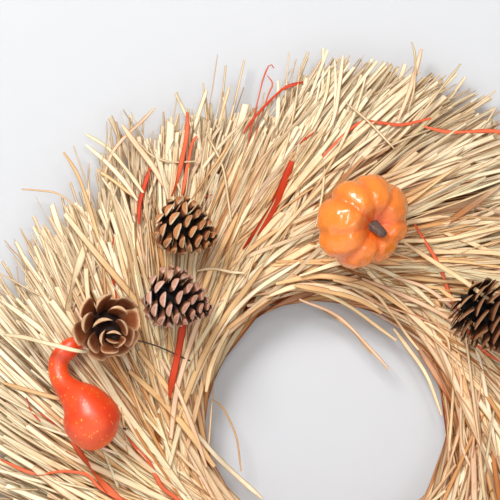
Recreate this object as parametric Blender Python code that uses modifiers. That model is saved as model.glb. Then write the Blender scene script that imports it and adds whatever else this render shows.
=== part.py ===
"""Harvest door wreath: raffia bunches wired to a flat double-ring wire frame, dressed with foam pumpkins,
swan-neck gourds and pine cones on floral wire, hung from a wire loop that folds behind the frame.

Metres, +Z up, the wreath's front faces -Y. The origin is where a door hook carries the hanging loop.
"""

import math

import bmesh
import bpy
import numpy as np
from mathutils import Matrix, Vector

MM = 0.001

# ---- driving dimensions, millimetres ----
RAIL_IN_R = 100.0  # centreline radius of the inner rail
RAIL_OUT_R = 119.0  # centreline radius of the outer rail
RAIL_WIRE_R = 1.5
BRACE_WIRE_R = 1.2
BRACE_GAP = 0.3
LOOP_WIRE_R = 1.2
LOOP_HALF_W = 17.0
LOOP_HEIGHT = 34.0  # arch centreline above the hinge axis
EYE_R = RAIL_WIRE_R + 0.45 + LOOP_WIRE_R  # centreline radius of the loop's two eyes
N_BUNCHES = 12
SWIRL_R = 82.0  # every bunch's edges are straight lines tangent to this circle
NECK_R = 108.0  # where each bunch is tied
BUNCH_IN_R = 89.0
BUNCH_OUT_R = 272.0
BUNCH_BACK = -2.6  # back of the raffia, from the rails' plane
BUNCH_GAP = 1.3  # between neighbours, along the arc
TIE_WIRE_R = 0.7
PICK_WIRE_R = 0.5
STRAND_R = 0.9

AXIS_UP = math.sqrt(RAIL_OUT_R**2 - LOOP_HALF_W**2)  # hinge axis above the ring's centre
CENTRE_Z = -(AXIS_UP + LOOP_HEIGHT - LOOP_WIRE_R)  # ring's centre, from the hook point
RAIL_Y = -EYE_R  # rails' plane, so that the loop's plane is Y = 0

# depth of the raffia's front from the rails' plane, against radius
FRONT_R = [86.0, 96.0, 108.0, 122.0, 145.0, 170.0, 205.0, 240.0, 275.0]
FRONT_D = [-8.0, -13.0, -17.5, -22.5, -31.0, -34.0, -30.0, -20.0, -10.0]


def front_depth(radius):
    return float(np.interp(radius, FRONT_R, FRONT_D))


def at(radius, degrees, y):
    """Polar about the ring's centre, seen from the front; y is measured from the rails' plane. In metres."""
    a = math.radians(degrees)
    return Vector((radius * math.cos(a), RAIL_Y + y, CENTRE_Z + radius * math.sin(a))) * MM


def xz(x, z, y):
    """x to the right and z up from the ring's centre, y from the rails' plane, in millimetres."""
    return Vector((x, RAIL_Y + y, CENTRE_Z + z)) * MM


def lean(radius):
    """Angle, about the centre, that a tangent line has turned through by this radius."""
    return math.degrees(math.acos(min(1.0, SWIRL_R / radius)))


# ---- scene ----
for old in list(bpy.data.objects):
    bpy.data.objects.remove(old, do_unlink=True)
wreath = bpy.data.collections.new("harvest_door_wreath")
cutters = bpy.data.collections.new("cutters")
cutters.hide_render = True
bpy.context.scene.collection.children.link(wreath)
bpy.context.scene.collection.children.link(cutters)


def material(name, colour, roughness, metallic=0.0):
    m = bpy.data.materials.new(name)
    m.use_nodes = True
    shader = m.node_tree.nodes["Principled BSDF"]
    shader.inputs["Base Color"].default_value = (*colour, 1.0)
    shader.inputs["Roughness"].default_value = roughness
    shader.inputs["Metallic"].default_value = metallic
    return m


STEEL = material("galvanised_wire", (0.42, 0.43, 0.44), 0.38, 1.0)
RAFFIA = material("raffia", (0.82, 0.66, 0.40), 0.75)
ORANGE = material("orange_raffia", (0.90, 0.22, 0.06), 0.7)
TIE = material("tie_wire", (0.20, 0.24, 0.16), 0.5, 0.6)
FLORAL = material("floral_wire", (0.07, 0.05, 0.04), 0.5, 0.4)
PUMPKIN = material("pumpkin_foam", (0.95, 0.37, 0.08), 0.4)
STEM = material("pumpkin_stem", (0.20, 0.14, 0.10), 0.6)
GOURD = material("gourd_lacquer", (0.90, 0.18, 0.05), 0.3)
CONE = material("pine_cone", (0.28, 0.15, 0.08), 0.8)


def place(obj, mat):
    """Puts an object in the wreath's collection, with its material."""
    for c in list(obj.users_collection):
        c.objects.unlink(obj)
    wreath.objects.link(obj)
    obj.data.materials.clear()
    obj.data.materials.append(mat)
    return obj


def from_bmesh(name, bm, mat, smooth=True):
    mesh = bpy.data.meshes.new(name)
    bm.to_mesh(mesh)
    bm.free()
    obj = bpy.data.objects.new(name, mesh)
    wreath.objects.link(obj)
    mesh.materials.append(mat)
    if smooth:
        mesh.shade_smooth()
    return obj


def wire(name, points, radius_mm, mat, closed=False, sides=2, radii=None):
    """A tube along a poly line. Points are in metres."""
    curve = bpy.data.curves.new(name, "CURVE")
    curve.dimensions = "3D"
    curve.bevel_depth = radius_mm * MM
    curve.bevel_resolution = sides
    curve.use_fill_caps = not closed
    spline = curve.splines.new("POLY")
    spline.points.add(len(points) - 1)
    for k, (p, q) in enumerate(zip(spline.points, points)):
        p.co = (*q, 1.0)
        p.radius = 1.0 if radii is None else radii[k]
    spline.use_cyclic_u = closed
    curve.materials.append(mat)
    obj = bpy.data.objects.new(name, curve)
    wreath.objects.link(obj)
    return obj


def smooth_path(points, count):
    """A smooth line through the given points, resampled evenly."""
    pts = [Vector(p) for p in points]
    ext = [2 * pts[0] - pts[1], *pts, 2 * pts[-1] - pts[-2]]
    fine = []
    for i in range(1, len(ext) - 2):
        p0, p1, p2, p3 = ext[i - 1 : i + 3]
        for k in range(16):
            t = k / 16
            fine.append(
                0.5
                * (
                    2 * p1
                    + (p2 - p0) * t
                    + (2 * p0 - 5 * p1 + 4 * p2 - p3) * t * t
                    + (3 * p1 - p0 - 3 * p2 + p3) * t**3
                )
            )
    fine.append(pts[-1])
    run = np.concatenate([[0], np.cumsum([(b - a).length for a, b in zip(fine, fine[1:])])])
    where = np.linspace(0, run[-1], count)
    arr = np.array([list(p) for p in fine])
    return [Vector([np.interp(w, run, arr[:, k]) for k in range(3)]) for w in where]


# ---- frame: two rails and six braces ----
for name, radius in (("frame_rail_inner", RAIL_IN_R), ("frame_rail_outer", RAIL_OUT_R)):
    bpy.ops.mesh.primitive_torus_add(
        major_radius=radius * MM,
        minor_radius=RAIL_WIRE_R * MM,
        major_segments=48,
        minor_segments=6,
        location=xz(0, 0, 0),
        rotation=(math.pi / 2, 0, 0),
    )
    rail = bpy.context.object
    rail.name = rail.data.name = name
    place(rail, STEEL)
    rail.data.shade_smooth()

for k in range(6):
    angle = 15 + 60 * k
    y = RAIL_WIRE_R + BRACE_GAP + BRACE_WIRE_R
    wire(
        f"frame_brace_{k + 1}",
        [at(r, angle, y) for r in (RAIL_IN_R - 2.5, RAIL_OUT_R + 2.5)],
        BRACE_WIRE_R,
        STEEL,
    )

# ---- hanging loop, on the outer rail, upright at rest ----
loop_points = []
for side in (-1, 1):
    eye = []
    for step in range(11):
        a = math.radians(-250 + 25 * step)
        eye.append(xz(side * LOOP_HALF_W, AXIS_UP + EYE_R * math.sin(a), EYE_R * math.cos(a)))
    leg = [xz(side * LOOP_HALF_W, AXIS_UP + h, EYE_R) for h in (8.0, LOOP_HEIGHT - LOOP_HALF_W)]
    half = eye + leg
    loop_points = half if side < 0 else [*loop_points, "arch", *half[::-1]]
arch = [
    xz(
        -LOOP_HALF_W * math.cos(math.radians(a)),
        AXIS_UP + LOOP_HEIGHT - LOOP_HALF_W + LOOP_HALF_W * math.sin(math.radians(a)),
        EYE_R,
    )
    for a in range(15, 180, 15)
]
cut = loop_points.index("arch")
wire("hanging_loop", loop_points[:cut] + arch + loop_points[cut + 1 :], LOOP_WIRE_R, STEEL)

# room for the loop's eyes in the backs of the bunches beside them
eye_cutters = []
for side in (-1, 1):
    bpy.ops.mesh.primitive_cylinder_add(
        vertices=16,
        radius=(EYE_R + LOOP_WIRE_R + 1.5) * MM,
        depth=4.4 * MM,
        location=xz(side * LOOP_HALF_W, AXIS_UP, 0),
        rotation=(0, math.pi / 2, 0),
    )
    c = bpy.context.object
    c.name = f"eye_clearance_{'left' if side < 0 else 'right'}"
    for owner in list(c.users_collection):
        owner.objects.unlink(c)
    cutters.objects.link(c)
    c.hide_render = True
    c.display_type = "WIRE"
    eye_cutters.append(c)


# ---- raffia bunches and their ties ----
def bunch_frame(i):
    """(angle of the neck, its point, the bunch's direction, the direction across it), in the XZ plane in mm."""
    neck_angle = i * 360.0 / N_BUNCHES
    a = math.radians(neck_angle)
    neck = np.array([NECK_R * math.cos(a), NECK_R * math.sin(a)])
    off_radial = math.asin(SWIRL_R / NECK_R)
    along = np.array([math.cos(a - off_radial), math.sin(a - off_radial)])
    across = np.array([-along[1], along[0]])
    return neck_angle, neck, along, across


NECK_RUN = math.sqrt(NECK_R**2 - SWIRL_R**2)  # along a tangent line, from where it touches the circle
ROWS = 9  # loop cuts along a bunch, less one


def bunch(i):
    """One fan of raffia: a block with loop cuts, bent to the swirl, pinched at its tie and crowned in front."""
    _, neck, _, across = bunch_frame(i)
    out_r = BUNCH_OUT_R - 5.0 + 5.0 * math.cos(2.4 * i)
    run_in = math.sqrt(BUNCH_IN_R**2 - SWIRL_R**2)
    run_out = math.sqrt(out_r**2 - SWIRL_R**2)
    touch = math.atan2(across[1], across[0])
    bm = bmesh.new()
    bmesh.ops.create_cube(bm, size=2.0)
    for axis, cuts in ((0, 5), (1, ROWS - 1)):
        chosen = [
            e
            for e in bm.edges
            if abs(e.verts[0].co[axis] - e.verts[1].co[axis]) > 1.9
        ]
        bmesh.ops.subdivide_edges(bm, edges=chosen, cuts=cuts, use_grid_fill=True)
    for v in bm.verts:
        u, w = v.co.x, v.co.z
        row = round((v.co.y + 1) / 2 * ROWS)
        turn = u * math.pi / N_BUNCHES
        run_neck = (NECK_RUN + SWIRL_R * math.sin(turn)) / math.cos(turn)
        if row <= 2:
            run, pinch = run_in + (run_neck - run_in) * row / 2 * (1.1 if row == 1 else 1.0), (0.0, 0.15, 1.0)[row]
        else:
            first = run_neck + 10.0
            run, pinch = first + (run_out - first) * ((row - 3) / (ROWS - 3)) ** 1.1, (0.3 if row == 3 else 0.0)
        radius = math.hypot(SWIRL_R, run)
        turn -= u * BUNCH_GAP / 2 / radius
        e_r = np.array([math.cos(touch + turn), math.sin(touch + turn)])
        e_t = np.array([-e_r[1], e_r[0]])
        p = SWIRL_R * e_r - run * e_t
        n = float((p - neck) @ across)
        p = p - across * n * 0.30 * pinch
        depth = front_depth(radius) * (1 - 0.10 * pinch)
        crown = 1 - 0.38 * abs(u) ** 3
        y = BUNCH_BACK if w < 0 else BUNCH_BACK + (depth - BUNCH_BACK) * crown
        v.co = xz(p[0], p[1], y)
    bmesh.ops.reverse_faces(bm, faces=bm.faces[:])  # the bend is a mirror image
    return from_bmesh(f"raffia_bunch_{i + 1:02d}", bm, RAFFIA)


for i in range(N_BUNCHES):
    made = bunch(i)
    if i in (2, 3, 4):
        for c in eye_cutters:
            cutting = made.modifiers.new(c.name, "BOOLEAN")
            cutting.operation = "DIFFERENCE"
            cutting.object = c

for i in range(N_BUNCHES):
    _, neck, along, across = bunch_frame(i)
    n_low, n_high, y_front, y_back = -14.7, 17.3, -21.8, RAIL_WIRE_R + 0.45 + TIE_WIRE_R
    corner_front, corner_back = 5.0, 1.6
    ring = []
    for cn, cy, r, start in (
        (n_high - corner_front, y_front + corner_front, corner_front, -90),
        (n_high - corner_back, y_back - corner_back, corner_back, 0),
        (n_low + corner_back, y_back - corner_back, corner_back, 90),
        (n_low + corner_front, y_front + corner_front, corner_front, 180),
    ):
        for a in (0, 45, 90):
            b = math.radians(start + a)
            ring.append((cn + r * math.cos(b), cy + r * math.sin(b)))
    wire(
        f"bunch_tie_{i + 1:02d}",
        [xz(*(neck + across * n), y) for n, y in ring],
        TIE_WIRE_R,
        TIE,
        closed=True,
        sides=1,
    )


# ---- dressings ----
def aim(direction, roll=0.0):
    """A rotation that takes +Z to the direction, with a roll about it."""
    quaternion = Vector(direction).normalized().to_track_quat("Z", "Y")
    return quaternion.to_matrix().to_4x4() @ Matrix.Rotation(math.radians(roll), 4, "Z")


PUMPKIN_LOBES = 8


def pumpkin(k, centre, direction, radius, roll):
    """A lobed, flattened ball with a dimple at each pole, and its stem in the upper one."""
    turn = Matrix.Translation(centre) @ aim(direction, roll)
    bm = bmesh.new()
    bmesh.ops.create_uvsphere(bm, u_segments=32, v_segments=12, radius=1.0)
    for v in bm.verts:
        level = v.co.z
        flat = math.hypot(v.co.x, v.co.y)
        around = math.atan2(v.co.y, v.co.x)
        rib = 1 - 0.075 * (1 - abs(math.sin(PUMPKIN_LOBES * around / 2)) ** 0.7) * flat
        out = flat * rib * radius
        z = level * 0.70 * radius * (1 - 0.30 * math.exp(-((flat / 0.33) ** 2)))
        v.co = turn @ (Vector((math.cos(around) * out, math.sin(around) * out, z)) * MM)
    from_bmesh(f"pumpkin_{k}", bm, PUMPKIN)
    base = 0.53 * radius + 0.4
    line = [
        turn @ (Vector((0.35 * h * h / 9, 0, base + h)) * MM) for h in (0.0, 2.4, 4.8, 7.2, 9.2)
    ]
    wire(f"pumpkin_stem_{k}", line, 3.4, STEM, sides=2, radii=[1.25, 1.0, 0.92, 0.95, 0.7])


def gourd(k, path, radii):
    """A swan-neck gourd: a fat tube whose radius swells at the body."""
    line = smooth_path(path, 22)
    run = np.linspace(0, 1, 22)
    keys = np.linspace(0, 1, len(radii))
    wire(
        f"gourd_{k}", line, 10.0, GOURD, sides=4, radii=[float(np.interp(t, keys, radii)) / 10.0 for t in run]
    )


CONE_PROFILE = [(0.0, 0.30), (0.03, 0.55), (0.12, 0.84), (0.28, 1.0), (0.45, 0.96), (0.62, 0.80), (0.80, 0.54), (0.93, 0.28), (1.0, 0.10)]


def cone(k, centre, direction, length, radius):
    """A pine cone's outer shape, turned about its own axis, base first."""
    mesh = bpy.data.meshes.new(f"pine_cone_{k}")
    outline = [(0.0, 1.0), *reversed([(r, t) for t, r in CONE_PROFILE]), (0.0, 0.0)]
    points = [(r * radius * MM, 0, (t - 0.5) * length * MM) for r, t in outline]
    mesh.from_pydata(points, [(a, a + 1) for a in range(len(points) - 1)], [])
    obj = bpy.data.objects.new(f"pine_cone_{k}", mesh)
    wreath.objects.link(obj)
    mesh.materials.append(CONE)
    screw = obj.modifiers.new("turn", "SCREW")
    screw.axis = "Z"
    screw.steps = screw.render_steps = 14
    screw.use_merge_vertices = True
    screw.merge_threshold = 0.00001
    obj.matrix_world = Matrix.Translation(centre) @ aim(direction)
    return obj


def pick_wire(name, start, bunch_index, second=False):
    """Floral wire from a dressing, over the raffia to the gap beside a bunch's tie, and hooked round the outer rail."""
    _, neck, along, across = bunch_frame(bunch_index)
    gap = neck + across * 19.6 + along * (4.2 if second else 0.0)
    start_xz = np.array([start.x, start.z]) / MM - [0, CENTRE_Z]
    start_y = start.y / MM - RAIL_Y
    away = (start_xz - gap) / float(np.hypot(*(start_xz - gap)))
    under = front_depth(float(np.hypot(*start_xz))) - 1.6
    points = [
        xz(*start_xz, start_y),
        xz(*(start_xz + away * 2.5), start_y * 0.65 + under * 0.35),
        xz(*(start_xz + away * 1.5), start_y * 0.2 + under * 0.8),
    ]
    for t in (0.15, 0.4, 0.65, 0.85):
        p = start_xz + (gap - start_xz) * t
        points.append(xz(*p, front_depth(float(np.hypot(*p))) - 1.6))
    points += [
        xz(*gap, front_depth(float(np.hypot(*gap))) - 0.5),
        xz(*gap, -14.0),
        xz(*gap, -1.0),
        xz(*(gap - along * 1.6 + across * (0.8 if second else 0.0)), 1.7),
        xz(*(gap - along * 5.0 + across * (2.0 if second else 0.0)), 2.6),
        xz(*(gap - along * (14.5 if second else 8.5) + across * (2.4 if second else 0.0)), 2.6),
    ]
    return wire(name, smooth_path(points, 20), PICK_WIRE_R, FLORAL, sides=1)


TOWARD = Vector((0, -1, 0))


def in_plane(degrees, rise=0.0):
    """A direction in the wreath's plane, lifted towards the front by rise degrees."""
    a, e = math.radians(degrees), math.radians(rise)
    return Vector((math.cos(a) * math.cos(e), -math.sin(e), math.sin(a) * math.cos(e)))


# pumpkins: upper right as seen, and its opposite below
pumpkin(1, xz(26.5, 151.5, -63.0), in_plane(-18, 60), 36.0, 12)
pumpkin(2, xz(-40.0, -150.0, -61.0), in_plane(160, 60), 33.0, 30)
pick_wire("pumpkin_wire_1", xz(34.0, 136.0, -36.6), 2)
pick_wire("pumpkin_wire_2", xz(-48.0, -136.0, -36.4), 8)

# gourds: left, and its opposite at the right; body first, neck hooked over
GOURD_RADII = [0.8, 16.6, 20.7, 21.7, 19.5, 15.8, 12.0, 9.2, 7.9, 7.6, 7.4, 7.2, 6.9, 3.0]
gourd_line = [(-162.5, -13.7, -55.0), (-168.5, -5.6, -55.8), (-174.0, 4.0, -56.4), (-180.6, 16.0, -55.0), (-189.8, 25.0, -50.5), (-197.5, 33.8, -46.0), (-199.8, 42.8, -43.5), (-198.0, 51.0, -42.8), (-188.0, 59.8, -42.6), (-181.5, 60.8, -42.4)]
gourd(1, [xz(x, z, y) for x, z, y in gourd_line], GOURD_RADII)
gourd(2, [xz(-x, -z - 6.0, y) for x, z, y in gourd_line], [0.94 * r for r in GOURD_RADII])
pick_wire("gourd_wire_1", xz(-149.0, -3.2, -52.0), 6)
pick_wire("gourd_wire_2", xz(150.0, -4.0, -50.0), 0)

# cones: three at the upper left, a larger one at the right, two at the lower right
cone(1, xz(-104.5, 144.0, -56.5), in_plane(-24, 4), 47.0, 19.6)
cone(2, xz(-111.0, 92.5, -56.5), in_plane(-19, 6), 50.0, 20.6)
cone(3, xz(-162.0, 70.5, -67.5), in_plane(-52, 66), 44.0, 24.5)
cone(4, xz(122.0, 78.0, -62.0), in_plane(-40, 6), 66.0, 26.5)
cone(5, xz(112.0, -92.0, -56.5), in_plane(158, 4), 50.0, 20.4)
cone(6, xz(158.0, -76.0, -64.5), in_plane(110, 60), 46.0, 20.8)
pick_wire("cone_wire_1", xz(-78.5, 130.0, -52.0), 4, second=True)
pick_wire("cone_wire_2", xz(-136.5, 99.0, -54.0), 4)
pick_wire("cone_wire_3", xz(-157.0, 58.0, -38.5), 5)
pick_wire("cone_wire_4", xz(101.0, 95.0, -41.0), 1)
pick_wire("cone_wire_5", xz(138.0, -103.0, -54.0), 10)
pick_wire("cone_wire_6", xz(158.0, -85.0, -36.5), 11)

# ---- dyed strands that lie over the bunches ----
ORANGE_LINES = (  # (height above the raffia, points)
    (1.0, [(-104.0, 228.0), (-105.0, 206.0), (-112.0, 182.0), (-119.0, 169.0)]),
    (1.0, [(-27.0, 193.0), (-36.0, 172.0), (-44.0, 158.0), (-52.0, 150.0)]),
    (4.4, [(72.0, 135.0), (84.0, 115.0), (93.5, 89.0), (106.0, 66.0), (116.0, 53.0), (130.0, 45.0)]),
    (1.0, [(-190.0, -12.0), (-172.0, -40.0), (-140.0, -58.0), (-110.0, -70.0)]),
    (4.4, [(-107.0, 73.5), (-110.0, 62.0), (-112.0, 50.0), (-115.5, 31.0), (-116.0, 22.0)]),
)
for k, (lift, line) in enumerate(ORANGE_LINES):
    path = []
    for p in smooth_path([xz(x, z, 0) for x, z in line], 14):
        radius = math.hypot(p.x / MM, p.z / MM - CENTRE_Z)
        path.append(Vector((p.x, (RAIL_Y + front_depth(radius) - lift - STRAND_R) * MM, p.z)))
    wire(f"orange_strand_{k + 1}", path, STRAND_R, ORANGE, sides=0)
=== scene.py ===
"""Looks of the harvest door wreath: every raffia strand, scale, lobe and stem as its own geometry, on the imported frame."""

import math

import bpy
import numpy as np
from mathutils import Matrix, Vector


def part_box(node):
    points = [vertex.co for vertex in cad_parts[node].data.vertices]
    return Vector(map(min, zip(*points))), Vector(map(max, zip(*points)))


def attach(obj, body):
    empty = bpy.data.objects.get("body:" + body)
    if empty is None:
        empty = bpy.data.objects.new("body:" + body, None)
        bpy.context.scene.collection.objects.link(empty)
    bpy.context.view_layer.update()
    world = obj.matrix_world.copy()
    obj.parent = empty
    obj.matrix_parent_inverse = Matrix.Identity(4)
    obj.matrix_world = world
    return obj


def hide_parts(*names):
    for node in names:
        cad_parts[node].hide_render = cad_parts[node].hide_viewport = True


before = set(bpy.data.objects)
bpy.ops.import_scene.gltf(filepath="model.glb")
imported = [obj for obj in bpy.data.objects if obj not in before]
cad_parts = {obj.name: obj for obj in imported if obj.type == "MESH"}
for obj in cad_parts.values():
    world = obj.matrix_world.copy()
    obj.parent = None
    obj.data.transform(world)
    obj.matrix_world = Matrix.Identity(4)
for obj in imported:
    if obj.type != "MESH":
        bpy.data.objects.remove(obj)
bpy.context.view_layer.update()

rng = np.random.default_rng(20261119)

# ------------------------------------------------------------------ the frame's own places
_lo, _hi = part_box("frame_rail_outer")
CX, RAIL_Y, CZ = ((_lo + _hi) / 2)[:]
MM = 0.001


def P(x, z, y):
    """x right, z up, y back, in millimetres from the ring's centre in the rails' plane -> metres."""
    return np.array([CX + x * MM, RAIL_Y + y * MM, CZ + z * MM])


def srgb(r, g, b):
    c = np.array([r, g, b], float) / 255.0
    return np.where(c <= 0.04045, c / 12.92, ((c + 0.055) / 1.055) ** 2.4)


# ------------------------------------------------------------------ materials
class Nodes:
    """A short hand for building node materials."""

    def __init__(self, name):
        self.m = bpy.data.materials.new(name)
        self.m.use_nodes = True
        self.t = self.m.node_tree
        self.shader = self.t.nodes["Principled BSDF"]

    def new(self, kind, **sets):
        n = self.t.nodes.new(kind)
        for k, v in sets.items():
            if k.startswith("in_"):
                n.inputs[k[3:].replace("_", " ")].default_value = v
            else:
                setattr(n, k, v)
        return n

    def link(self, a, b):
        self.t.links.new(a, b)
        return self

    def set(self, **values):
        for k, v in values.items():
            self.shader.inputs[k.replace("_", " ")].default_value = v
        return self

    def noise(self, vector, scale, detail=3.0, rough=0.55, distortion=0.0):
        n = self.new("ShaderNodeTexNoise")
        n.inputs["Scale"].default_value = scale
        n.inputs["Detail"].default_value = detail
        n.inputs["Roughness"].default_value = rough
        n.inputs["Distortion"].default_value = distortion
        if vector is not None:
            self.link(vector, n.inputs["Vector"])
        return n.outputs["Fac"]

    def ramp(self, fac, stops, interpolation="LINEAR"):
        r = self.new("ShaderNodeValToRGB")
        r.color_ramp.interpolation = interpolation
        e = r.color_ramp.elements
        while len(e) < len(stops):
            e.new(0.5)
        for k, (pos, col) in enumerate(stops):
            e[k].position = pos
            c = (col, col, col) if np.isscalar(col) else tuple(float(v) for v in col)
            e[k].color = (*c, 1.0)
        self.link(fac, r.inputs["Fac"])
        return r.outputs["Color"]

    def mix(self, a, b, fac, mode="MIX"):
        m = self.new("ShaderNodeMix", data_type="RGBA", blend_type=mode)
        for value, socket in ((a, m.inputs[6]), (b, m.inputs[7]), (fac, m.inputs[0])):
            if isinstance(value, bpy.types.NodeSocket):
                self.link(value, socket)
            elif np.isscalar(value):
                socket.default_value = value
            else:
                socket.default_value = (*[float(v) for v in value], 1.0)
        return m.outputs[2]

    def scaled(self, vector, sx, sy, sz):
        n = self.new("ShaderNodeMapping")
        n.inputs["Scale"].default_value = (sx, sy, sz)
        self.link(vector, n.inputs["Vector"])
        return n.outputs["Vector"]

    def uv(self, name):
        return self.new("ShaderNodeUVMap", uv_map=name).outputs["UV"]

    def where(self):
        return self.new("ShaderNodeTexCoord").outputs["Object"]

    def colour(self, name="Tint"):
        return self.new("ShaderNodeVertexColor", layer_name=name).outputs["Color"]

    def bump(self, height, strength, distance):
        b = self.new("ShaderNodeBump")
        b.inputs["Strength"].default_value = strength
        b.inputs["Distance"].default_value = distance
        self.link(height, b.inputs["Height"])
        self.link(b.outputs["Normal"], self.shader.inputs["Normal"])
        return self

    def base(self, socket):
        self.link(socket, self.shader.inputs["Base Color"])
        return self

    def rough(self, fac, low, high):
        r = self.new("ShaderNodeMapRange")
        r.inputs["To Min"].default_value = low
        r.inputs["To Max"].default_value = high
        self.link(fac, r.inputs["Value"])
        self.link(r.outputs["Result"], self.shader.inputs["Roughness"])
        return self


def raffia_material(name, streak_low=0.72, streak_high=1.10):
    """Split palm leaf: a tint for each strand, fine fibres along it, and a faint stain here and there."""
    n = Nodes(name)
    along = n.uv("Strand")
    fibres = n.noise(n.scaled(along, 0.7, 26.0, 1.0), 1.0, 2.0, 0.6)
    fine = n.noise(n.scaled(along, 2.5, 90.0, 1.0), 1.0, 1.0, 0.5)
    blotch = n.noise(n.scaled(along, 1.3, 2.0, 1.0), 1.0, 3.0, 0.6)
    warm = streak_low * 0.72
    streak = n.ramp(fibres, [(0.30, (streak_low, 0.5 * (streak_low + warm), warm)), (0.72, (streak_high, streak_high, streak_high))])
    stain = n.ramp(blotch, [(0.30, (0.82, 0.62, 0.40)), (0.52, (1.0, 1.0, 1.0))])
    c = n.mix(n.colour(), streak, 0.55, "MULTIPLY")
    c = n.mix(c, stain, 0.40, "MULTIPLY")
    n.base(c)
    n.rough(fibres, 0.42, 0.72)
    both = n.mix(fibres, fine, 0.35)
    n.bump(both, 0.45, 0.0005)
    n.set(Specular_IOR_Level=0.35)
    return n.m


def cone_material(name):
    """Woody cone scale: the vertex tint, mottled fine and in broader patches, with a fine bump."""
    n = Nodes(name)
    w = n.where()
    mottled = n.noise(w, 900.0, 4.0, 0.65)
    patches = n.noise(w, 210.0, 3.0, 0.6)
    c = n.mix(n.colour(), n.ramp(mottled, [(0.28, 0.55), (0.70, 1.15)]), 0.75, "MULTIPLY")
    c = n.mix(c, n.ramp(patches, [(0.35, (0.72, 0.62, 0.58)), (0.62, (1.0, 1.0, 1.0))]), 0.5, "MULTIPLY")
    n.base(c)
    n.rough(mottled, 0.55, 0.85)
    n.bump(mottled, 0.6, 0.0006)
    n.set(Specular_IOR_Level=0.3)
    return n.m


def pumpkin_material():
    n = Nodes("pumpkin_lacquer")
    w = n.where()
    soft = n.noise(w, 60.0, 3.0, 0.5)
    speck = n.noise(w, 1500.0, 2.0, 0.6)
    dents = n.noise(w, 230.0, 3.0, 0.55)
    c = n.mix(n.colour(), n.ramp(soft, [(0.35, (1.0, 0.86, 0.70)), (0.65, (1.0, 1.05, 1.15))]), 0.5, "MULTIPLY")
    c = n.mix(c, n.ramp(speck, [(0.60, (1.0, 1.0, 1.0)), (0.74, (1.0, 0.80, 0.60))]), 0.5, "MULTIPLY")
    n.base(c)
    n.rough(dents, 0.16, 0.30)
    lumps = n.noise(w, 120.0, 4.0, 0.62)
    n.bump(n.mix(lumps, dents, 0.45), 0.55, 0.0030)
    n.set(Coat_Weight=1.0, Coat_Roughness=0.05, Specular_IOR_Level=0.5)
    return n.m


def gourd_material():
    n = Nodes("gourd_lacquer_flecked")
    w = n.where()
    soft = n.noise(w, 45.0, 2.0, 0.5)
    base = n.ramp(soft, [(0.35, srgb(226, 58, 14)), (0.65, srgb(240, 86, 30))])
    v = n.new("ShaderNodeTexVoronoi", feature="F1")
    v.inputs["Scale"].default_value = 380.0
    v.inputs["Randomness"].default_value = 1.0
    n.link(n.scaled(w, 1.0, 1.0, 0.62), v.inputs["Vector"])
    dots = n.ramp(v.outputs["Distance"], [(0.13, 1.0), (0.26, 0.0)])
    some = n.ramp(n.noise(w, 300.0, 2.0), [(0.44, 0.0), (0.56, 1.0)])
    where = n.mix(dots, some, 1.0, "MULTIPLY")
    n.base(n.mix(base, srgb(252, 178, 74), where))
    n.rough(soft, 0.34, 0.48)
    n.bump(n.noise(w, 190.0, 2.0), 0.16, 0.0012)
    n.set(Coat_Weight=0.35, Coat_Roughness=0.30)
    return n.m


def stem_material():
    n = Nodes("stem_bark")
    w = n.where()
    grain = n.noise(n.scaled(w, 1.0, 1.0, 0.3), 1400.0, 4.0, 0.6)
    n.base(n.ramp(grain, [(0.30, srgb(52, 36, 30)), (0.55, srgb(98, 74, 62)), (0.75, srgb(150, 126, 110))]))
    n.rough(grain, 0.35, 0.6)
    n.bump(grain, 0.7, 0.0008)
    return n.m


def wire_material(name, dark, light, rough, metallic, scale=420.0):
    """Drawn or enamelled wire: faint patches and fine scratches."""
    n = Nodes(name)
    w = n.where()
    spangle = n.noise(w, scale, 3.0, 0.6)
    fine = n.noise(w, scale * 7, 2.0, 0.6)
    both = n.mix(spangle, fine, 0.4)
    n.base(n.ramp(both, [(0.32, dark), (0.68, light)]))
    n.rough(spangle, rough, rough + 0.22)
    n.bump(fine, 0.25, 0.0002)
    n.set(Metallic=metallic)
    return n.m


RAFFIA = raffia_material("raffia_strands")
ORANGE = raffia_material("dyed_raffia_strands", 0.62, 1.12)
CONE_MAT = cone_material("cone_scales")
PUMPKIN_MAT = pumpkin_material()
GOURD_MAT = gourd_material()
STEM_MAT = stem_material()
STEEL_MAT = wire_material("galvanised_steel", (0.30, 0.31, 0.32), (0.58, 0.59, 0.60), 0.30, 1.0)
TIE_MAT = wire_material("green_paddle_wire", (0.025, 0.045, 0.020), (0.08, 0.12, 0.05), 0.34, 0.1, 600.0)
FLORAL_MAT = wire_material("brown_floral_wire", (0.016, 0.010, 0.008), (0.07, 0.045, 0.03), 0.34, 0.1, 600.0)

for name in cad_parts:
    o = bpy.data.objects[name] if name in bpy.data.objects else None
    if o is None:
        continue
    if name.startswith("frame_") or name == "hanging_loop":
        mat = STEEL_MAT
    elif name.startswith("bunch_tie"):
        mat = TIE_MAT
    elif "_wire_" in name:
        mat = FLORAL_MAT
    else:
        continue
    for s in o.material_slots:
        s.material = mat


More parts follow.
